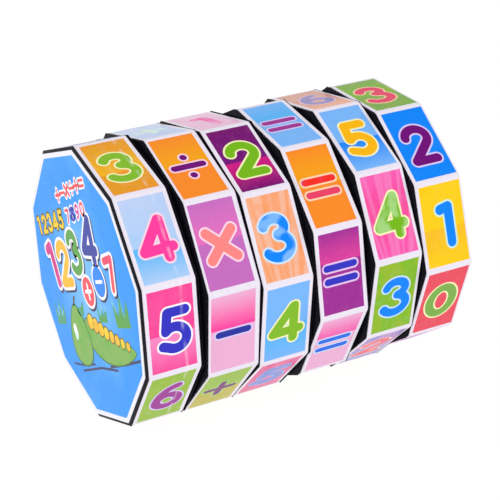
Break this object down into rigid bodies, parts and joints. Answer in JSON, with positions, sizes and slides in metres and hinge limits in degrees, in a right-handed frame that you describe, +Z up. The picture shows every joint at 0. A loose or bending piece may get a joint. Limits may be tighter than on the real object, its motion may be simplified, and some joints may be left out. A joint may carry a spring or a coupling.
{
  "type": "rotating number cylinder puzzle",
  "caption": "Ten-sided cylinder puzzle whose printed rings turn on one spindle, so that digits and signs line up as sums along its length.",
  "frame": {"origin": "on the spindle's axis at half the overall length, which is the centre of the bounding box; the cylinder lies on its side", "axes": "+X along the spindle from the decorated end to the plain end, which is the longest extent; +Z up; +Y away from the side that faces the viewer"},
  "size_m": [0.081, 0.065, 0.065],
  "materials": {
    "black_plastic": "moulded black plastic with a satin gloss",
    "printed_wrap": "printed paper under a glossy laminate, bright panels with pale borders",
    "printed_sticker": "printed paper under a glossy laminate, sky blue with a pale border",
    "spindle_plastic": "natural moulded plastic",
    "steel": "bright zinc-plated steel"
  },
  "bodies": {
    "left_ring_and_spindle": {"ring_1_digits": "black_plastic", "wrap_1_digits": "printed_wrap", "left_end_sticker": "printed_sticker", "spindle": "spindle_plastic", "spindle_screw": "steel", "spindle_washer": "steel"},
    "ring_2_body": {"ring_2_operators": "black_plastic", "wrap_2_operators": "printed_wrap"},
    "ring_3_body": {"ring_3_digits": "black_plastic", "wrap_3_digits": "printed_wrap"},
    "ring_4_body": {"ring_4_equals": "black_plastic", "wrap_4_equals": "printed_wrap"},
    "ring_5_body": {"ring_5_tens": "black_plastic", "wrap_5_tens": "printed_wrap"},
    "ring_6_body": {"ring_6_units": "black_plastic", "wrap_6_units": "printed_wrap", "right_end_cap": "black_plastic", "right_end_sticker": "printed_sticker"}
  },
  "joints": [
    {"name": "ring_2_turn", "type": "hinge", "parent": "left_ring_and_spindle", "child": "ring_2_body", "pos_m": [-0.01997, 0, 0], "axis": [1, 0, 0], "continuous": true},
    {"name": "ring_3_turn", "type": "hinge", "parent": "left_ring_and_spindle", "child": "ring_3_body", "pos_m": [-0.00677, 0, 0], "axis": [1, 0, 0], "continuous": true},
    {"name": "ring_4_turn", "type": "hinge", "parent": "left_ring_and_spindle", "child": "ring_4_body", "pos_m": [0.00658, 0, 0], "axis": [1, 0, 0], "continuous": true},
    {"name": "ring_5_turn", "type": "hinge", "parent": "left_ring_and_spindle", "child": "ring_5_body", "pos_m": [0.02048, 0, 0], "axis": [1, 0, 0], "continuous": true},
    {"name": "ring_6_turn", "type": "hinge", "parent": "left_ring_and_spindle", "child": "ring_6_body", "pos_m": [0.03377, 0, 0], "axis": [1, 0, 0], "continuous": true}
  ]
}
